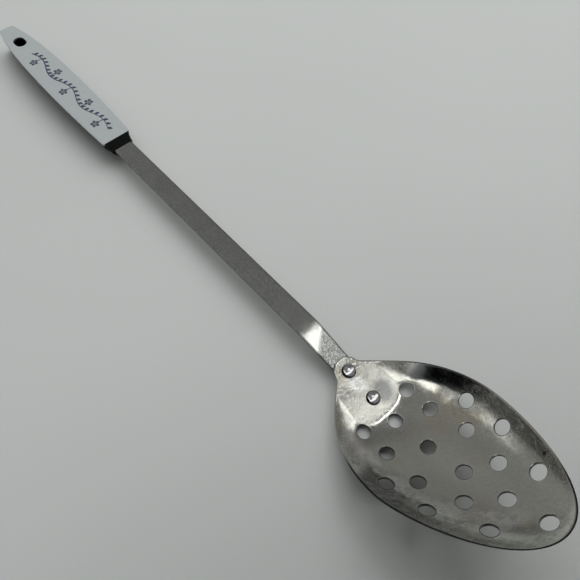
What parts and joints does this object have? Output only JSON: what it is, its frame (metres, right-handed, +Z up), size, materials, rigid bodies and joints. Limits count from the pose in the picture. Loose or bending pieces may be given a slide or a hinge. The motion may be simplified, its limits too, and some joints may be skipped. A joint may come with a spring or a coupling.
{
  "type": "slotted serving spoon",
  "caption": "Serving spoon with a deep egg-shaped steel bowl pierced by round drain holes, riveted to a flat steel strap that runs into a black moulded handle with a pale facing.",
  "frame": {"origin": "middle of the spoon's length and width, on the table that it lies on", "axes": "+X along the spoon from the far end of the handle to the tip of the bowl, +Y across it, +Z up out of the open bowl"},
  "size_m": [0.3628, 0.0594, 0.041],
  "materials": {
    "bowl_steel": "pressed sheet, polished and worn",
    "strap_steel": "flat stock, satin and worn",
    "rivet_steel": "domed and polished",
    "handle_black": "moulded, fine satin",
    "facing_pale": null
  },
  "bodies": {
    "root": {"bowl": "bowl_steel", "strap": "strap_steel", "rear_rivet": "rivet_steel", "front_rivet": "rivet_steel", "handle_body": "handle_black", "handle_facing": "facing_pale"}
  },
  "joints": []
}
